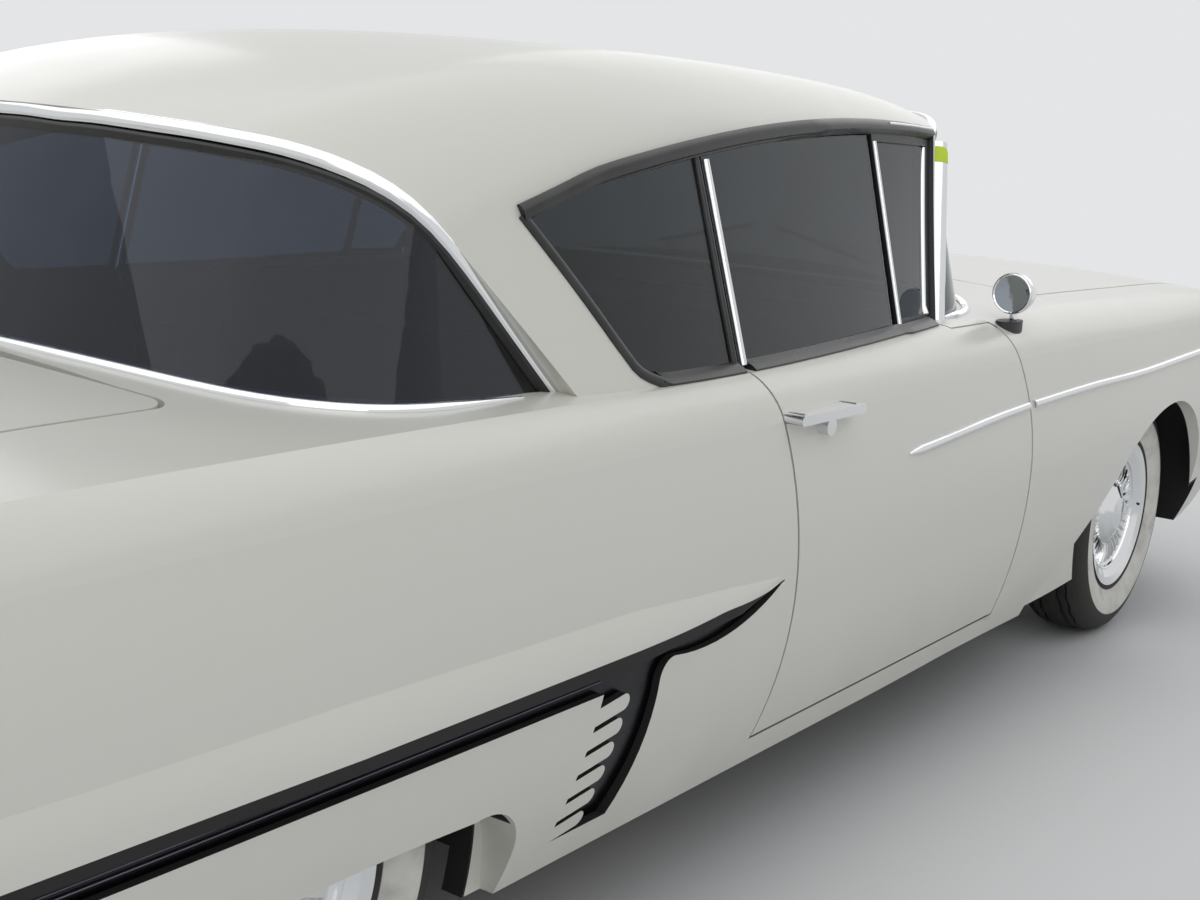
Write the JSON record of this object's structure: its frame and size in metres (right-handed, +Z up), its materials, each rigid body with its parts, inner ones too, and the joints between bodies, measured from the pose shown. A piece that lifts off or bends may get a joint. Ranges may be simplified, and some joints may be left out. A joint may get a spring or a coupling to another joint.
{
  "type": "1950s two-door hardtop car",
  "caption": "Full-size 1950s two-door hardtop with wrapped glass, low fins, side spear and scoop trim, opening doors, hood and trunk lid, steered and turning wheels.",
  "frame": {"origin": "on the floor under the middle of the overall length, on the centreline", "axes": "+X to the nose, +Y to the car's left, +Z up"},
  "size_m": [5.634, 2.032, 1.5184],
  "materials": {
    "body_paint": "glossy off-white enamel",
    "chrome": "polished plate",
    "glass": "lightly tinted",
    "lamp_glass": "fluted clear glass",
    "lamp_red": "red lens",
    "black_steel": "satin black with road dust",
    "engine": "painted iron",
    "exhaust_steel": "dull steel",
    "seat_trim": "dark cloth and vinyl",
    "dash": "dark grain",
    "tyre": "black rubber with a white wall"
  },
  "bodies": {
    "body": {"body_shell": "body_paint", "front_fender_left": "body_paint", "front_fender_right": "body_paint", "windshield": "glass", "backlight": "glass", "quarter_glasses": "glass", "front_bumper": "chrome", "rear_bumper": "chrome", "grille": "chrome", "headlamps": "lamp_glass", "tail_lamps": "lamp_red", "chassis_frame": "black_steel", "floor_pan": "black_steel", "engine_block": "engine", "front_seat": "seat_trim", "rear_seat": "seat_trim", "dashboard": "dash", "steering_wheel": "dash", "front_suspension": "black_steel", "rear_axle": "black_steel", "driveshaft": "black_steel", "exhaust": "exhaust_steel", "fuel_tank": "black_steel", "quarter_trims": "chrome", "fender_mirrors": "chrome"},
    "hood": {"hood": "body_paint"},
    "trunk_lid": {"trunk_lid": "body_paint"},
    "door_left": {"door_left": "body_paint", "door_glass_left": "glass", "vent_window_left": "glass", "door_handle_left": "chrome"},
    "door_right": {"door_right": "body_paint", "door_glass_right": "glass", "vent_window_right": "glass", "door_handle_right": "chrome"},
    "knuckle_left": {"knuckle_left": "black_steel"},
    "knuckle_right": {"knuckle_right": "black_steel"},
    "wheel_front_left": {"tyre_front_left": "tyre", "wheel_front_left": "chrome"},
    "wheel_front_right": {"tyre_front_right": "tyre", "wheel_front_right": "chrome"},
    "wheel_rear_left": {"tyre_rear_left": "tyre", "wheel_rear_left": "chrome"},
    "wheel_rear_right": {"tyre_rear_right": "tyre", "wheel_rear_right": "chrome"}
  },
  "joints": [
    {"name": "hood_hinge", "type": "hinge", "parent": "body", "child": "hood", "pos_m": [1.367, 0, 1.03], "axis": [0, -1, 0], "range_deg": [0, 50]},
    {"name": "trunk_hinge", "type": "hinge", "parent": "body", "child": "trunk_lid", "pos_m": [-1.398, 0, 1.012], "axis": [0, 1, 0], "range_deg": [0, 55]},
    {"name": "door_left_hinge", "type": "hinge", "parent": "body", "child": "door_left", "pos_m": [0.786, 0.992, 0.6], "axis": [0, 0, -1], "range_deg": [0, 65]},
    {"name": "door_right_hinge", "type": "hinge", "parent": "body", "child": "door_right", "pos_m": [0.786, -0.992, 0.6], "axis": [0, 0, 1], "range_deg": [0, 65]},
    {"name": "steer_left", "type": "hinge", "parent": "body", "child": "knuckle_left", "pos_m": [1.873, 0.69, 0.352], "axis": [0, 0, 1], "range_deg": [-32, 32]},
    {"name": "steer_right", "type": "hinge", "parent": "body", "child": "knuckle_right", "pos_m": [1.873, -0.69, 0.352], "axis": [0, 0, 1], "range_deg": [-32, 32]},
    {"name": "spin_front_left", "type": "hinge", "parent": "knuckle_left", "child": "wheel_front_left", "pos_m": [1.873, 0.7745, 0.352], "axis": [0, 1, 0], "continuous": true},
    {"name": "spin_front_right", "type": "hinge", "parent": "knuckle_right", "child": "wheel_front_right", "pos_m": [1.873, -0.7745, 0.352], "axis": [0, 1, 0], "continuous": true},
    {"name": "spin_rear_left", "type": "hinge", "parent": "body", "child": "wheel_rear_left", "pos_m": [-1.416, 0.7745, 0.352], "axis": [0, 1, 0], "continuous": true},
    {"name": "spin_rear_right", "type": "hinge", "parent": "body", "child": "wheel_rear_right", "pos_m": [-1.416, -0.7745, 0.352], "axis": [0, 1, 0], "continuous": true}
  ],
  "couplings": [
    {"joint": "steer_right", "follows": "steer_left", "ratio": 1}
  ]
}
